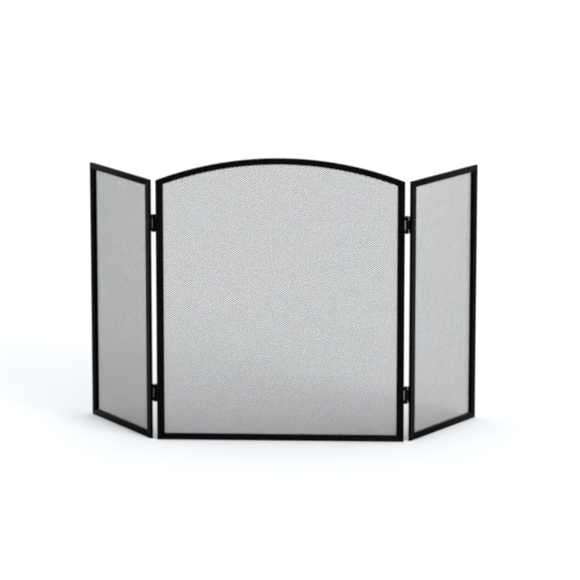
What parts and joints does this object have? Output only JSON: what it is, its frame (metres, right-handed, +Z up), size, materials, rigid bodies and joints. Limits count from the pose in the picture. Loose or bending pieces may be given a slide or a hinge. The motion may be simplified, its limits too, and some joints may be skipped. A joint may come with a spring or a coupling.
{
  "type": "fireplace screen",
  "caption": "Folding fireplace screen with an arched centre panel and two hinged side panels, each a tube frame backed with expanded metal mesh.",
  "frame": {"origin": "on the hearth, under the middle of the centre panel's bottom rail", "axes": "+Z up, +X along the centre panel to the right seen from the room, +Y towards the fire, so the front faces -Y"},
  "size_m": [0.8341, 0.2295, 0.6054],
  "materials": {
    "frame_powder_coat": "black powder coat, fine texture, satin",
    "mesh_powder_coat": "black powder coat over expanded metal",
    "strip_powder_coat": "black powder coat, fine texture, satin",
    "hinge_paint": "black powder coat, worn at the knuckles",
    "rivet_powder_coat": "black powder coat",
    "hinge_pin_steel": "blackened steel, rubbed bright in rings"
  },
  "bodies": {
    "centre_panel": {"centre_left_stile": "frame_powder_coat", "centre_right_stile": "frame_powder_coat", "centre_bottom_rail": "frame_powder_coat", "centre_arched_rail": "frame_powder_coat", "centre_mesh": "mesh_powder_coat", "centre_bottom_strip": "strip_powder_coat", "centre_arched_strip": "strip_powder_coat", "centre_left_strip": "strip_powder_coat", "centre_right_strip": "strip_powder_coat", "centre_hinge_rivets": "rivet_powder_coat", "left_lower_hinge_one_knuckle_leaf": "hinge_paint", "left_upper_hinge_one_knuckle_leaf": "hinge_paint", "right_lower_hinge_two_knuckle_leaf": "hinge_paint", "right_lower_hinge_pin": "hinge_pin_steel", "right_upper_hinge_two_knuckle_leaf": "hinge_paint", "right_upper_hinge_pin": "hinge_pin_steel"},
    "left_panel": {"left_hinge_stile": "frame_powder_coat", "left_outer_stile": "frame_powder_coat", "left_bottom_rail": "frame_powder_coat", "left_top_rail": "frame_powder_coat", "left_mesh": "mesh_powder_coat", "left_bottom_strip": "strip_powder_coat", "left_top_strip": "strip_powder_coat", "left_hinge_strip": "strip_powder_coat", "left_outer_strip": "strip_powder_coat", "left_hinge_rivets": "rivet_powder_coat", "left_lower_hinge_two_knuckle_leaf": "hinge_paint", "left_lower_hinge_pin": "hinge_pin_steel", "left_upper_hinge_two_knuckle_leaf": "hinge_paint", "left_upper_hinge_pin": "hinge_pin_steel"},
    "right_panel": {"right_hinge_stile": "frame_powder_coat", "right_outer_stile": "frame_powder_coat", "right_bottom_rail": "frame_powder_coat", "right_top_rail": "frame_powder_coat", "right_mesh": "mesh_powder_coat", "right_bottom_strip": "strip_powder_coat", "right_top_strip": "strip_powder_coat", "right_hinge_strip": "strip_powder_coat", "right_outer_strip": "strip_powder_coat", "right_hinge_rivets": "rivet_powder_coat", "right_lower_hinge_one_knuckle_leaf": "hinge_paint", "right_upper_hinge_one_knuckle_leaf": "hinge_paint"}
  },
  "joints": [
    {"name": "left_fold", "type": "hinge", "parent": "centre_panel", "child": "left_panel", "pos_m": [-0.265, 0.007, 0], "axis": [0, 0, -1], "range_deg": [-91.9, 124.1]},
    {"name": "right_fold", "type": "hinge", "parent": "centre_panel", "child": "right_panel", "pos_m": [0.265, 0.007, 0], "axis": [0, 0, 1], "range_deg": [-93.6, 122.4]}
  ]
}
